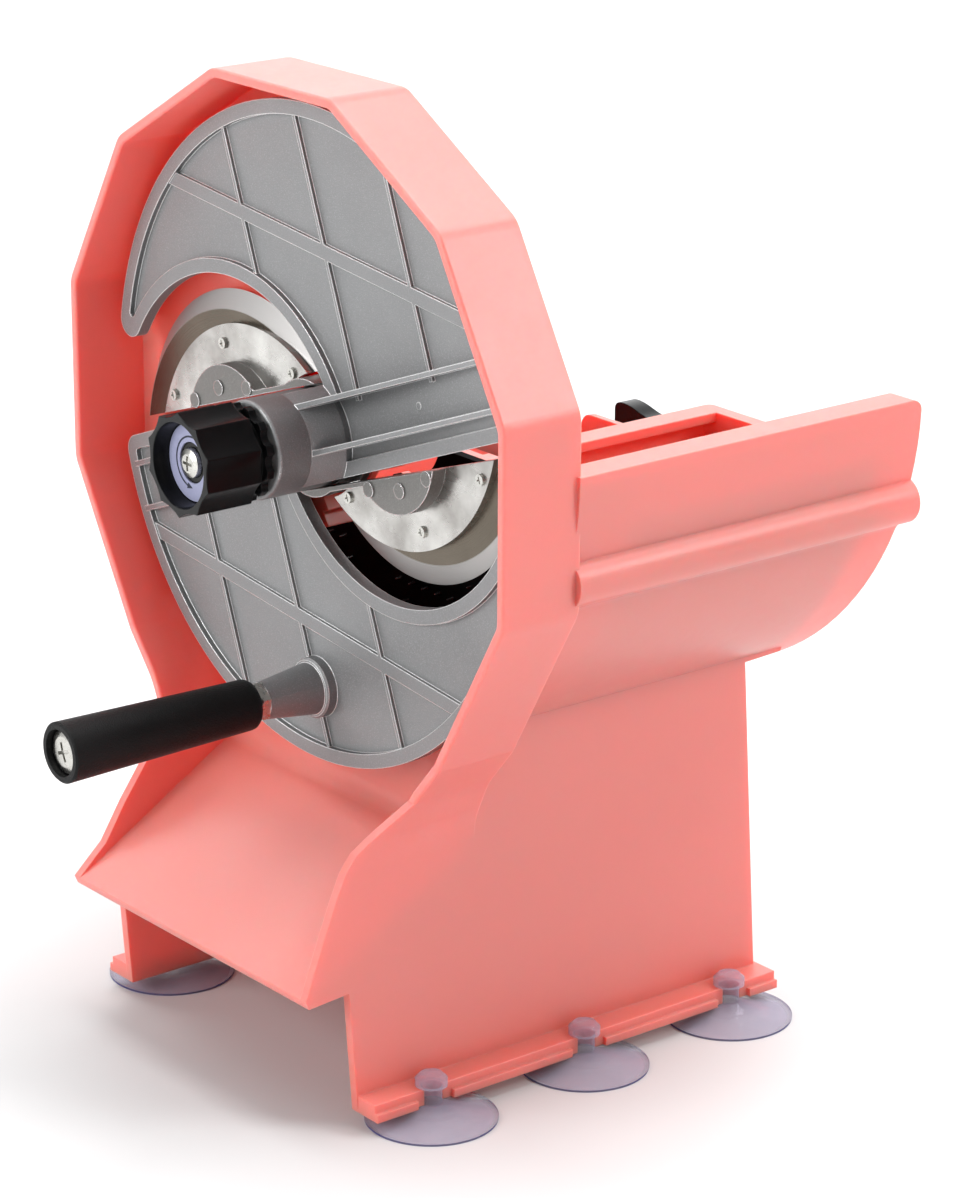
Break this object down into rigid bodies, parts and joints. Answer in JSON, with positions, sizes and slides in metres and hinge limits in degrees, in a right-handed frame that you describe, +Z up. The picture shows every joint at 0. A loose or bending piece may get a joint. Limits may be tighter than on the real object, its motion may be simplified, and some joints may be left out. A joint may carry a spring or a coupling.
{
  "type": "hand cranked disc slicer",
  "caption": "Hand-cranked disc slicer with a slanted chute, twin crescent blades, thickness knob, trough with sliding pusher and suction feet.",
  "frame": {"origin": "centre of the footprint, on the table", "axes": "+Z up, +Y from the crank side along the disc's axis to the rear of the trough, +X to the right of someone facing the crank"},
  "size_m": [0.2964, 0.3176, 0.405],
  "materials": {
    "pink_plastic": "moulded satin",
    "cast_aluminium": "die cast, fine grain",
    "polished_steel": "polished",
    "blade_steel": "ground",
    "plain_steel": "zinc plated",
    "bronze": "sintered",
    "nylon": "smooth",
    "black_plastic": "gloss",
    "grip_plastic": "fine grain",
    "label": "printed",
    "clear_vinyl": "soft clear vinyl"
  },
  "bodies": {
    "frame": {"housing": "pink_plastic", "bush_front": "bronze", "bush_rear": "bronze", "suction_cup_1": "clear_vinyl", "suction_cup_2": "clear_vinyl", "suction_cup_3": "clear_vinyl", "suction_cup_4": "clear_vinyl", "suction_cup_5": "clear_vinyl", "suction_cup_6": "clear_vinyl"},
    "rotor": {"main_shaft": "plain_steel", "shaft_key": "plain_steel", "shaft_washer": "plain_steel", "shaft_clip": "plain_steel", "blade_holder": "cast_aluminium", "blade_upper": "blade_steel", "blade_lower": "blade_steel", "clamp_plate_upper": "polished_steel", "clamp_plate_lower": "polished_steel", "blade_screws": "plain_steel", "holder_rivets": "cast_aluminium", "drive_pins": "plain_steel", "disc_spring": "plain_steel", "knob_screw": "plain_steel"},
    "disc": {"cutting_disc": "cast_aluminium", "thrust_washer": "nylon", "handle_bolt": "plain_steel", "handle_nut": "plain_steel"},
    "knob": {"adjusting_knob": "black_plastic", "knob_insert": "bronze", "knob_label": "label"},
    "grip": {"handle_grip": "grip_plastic"},
    "pusher": {"pusher_carriage": "pink_plastic", "pusher_face": "black_plastic", "pusher_screws": "plain_steel", "pusher_handle": "black_plastic", "pusher_handle_screw": "plain_steel"}
  },
  "joints": [
    {"name": "crank_spin", "type": "hinge", "parent": "frame", "child": "rotor", "pos_m": [0, -0.05374, 0.26], "axis": [0, 1, 0], "continuous": true},
    {"name": "disc_feed", "type": "slide", "parent": "rotor", "child": "disc", "axis": [0, 1, 0], "range_m": [0, 0.005], "deforming": ["disc_spring"]},
    {"name": "knob_turn", "type": "hinge", "parent": "disc", "child": "knob", "pos_m": [0, -0.08374, 0.26], "axis": [0, 1, 0], "range_deg": [0, 721]},
    {"name": "grip_spin", "type": "hinge", "parent": "disc", "child": "grip", "pos_m": [0.00183, -0.11374, 0.15502], "axis": [0, 1, 0], "continuous": true},
    {"name": "pusher_slide", "type": "slide", "parent": "frame", "child": "pusher", "axis": [0, 1, 0], "range_m": [-0.023, 0.09]}
  ],
  "couplings": [
    {"joint": "knob_turn", "follows": "disc_feed", "rad_per_m": 2513.3}
  ]
}
